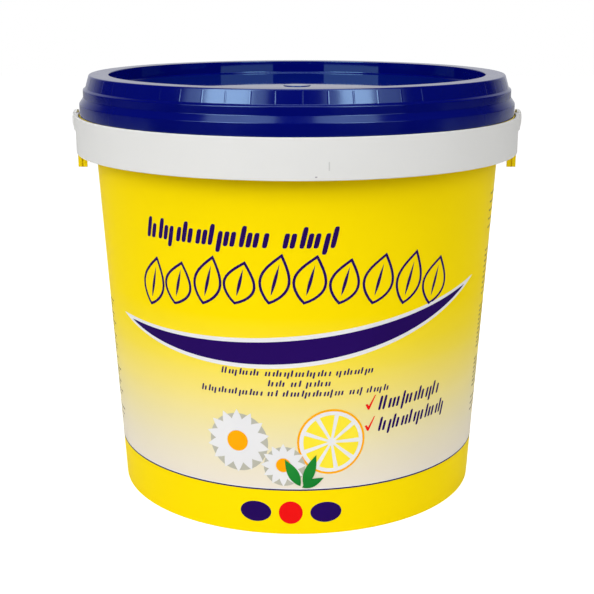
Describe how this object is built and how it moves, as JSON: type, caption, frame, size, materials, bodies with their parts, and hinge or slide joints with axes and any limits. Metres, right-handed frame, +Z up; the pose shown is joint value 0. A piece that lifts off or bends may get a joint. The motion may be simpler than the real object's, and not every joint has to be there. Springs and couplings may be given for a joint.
{
  "type": "mayonnaise bucket",
  "caption": "Tapered round food pail, full and shut, with a snapped-on lid recessed on top and a flat strap handle that swings up from its rest round the collar.",
  "frame": {"origin": "middle of the foot ring, on the ground", "axes": "+Z up; the printed front and the folded strap face -Y; the strap's hinge axis is parallel to X"},
  "size_m": [0.2782, 0.2693, 0.2563],
  "materials": {
    "pail_yellow": "satin moulded plastic with a printed wall",
    "lid_blue": "glossy moulded plastic",
    "strap_white": "satin moulded plastic"
  },
  "bodies": {
    "pail": {"pail": "pail_yellow", "lid": "lid_blue"},
    "handle": {"strap_handle": "strap_white"}
  },
  "joints": [
    {"name": "handle_swing", "type": "hinge", "parent": "pail", "child": "handle", "pos_m": [0, 0, 0.2278], "axis": [-1, 0, 0], "range_deg": [0, 180]}
  ]
}
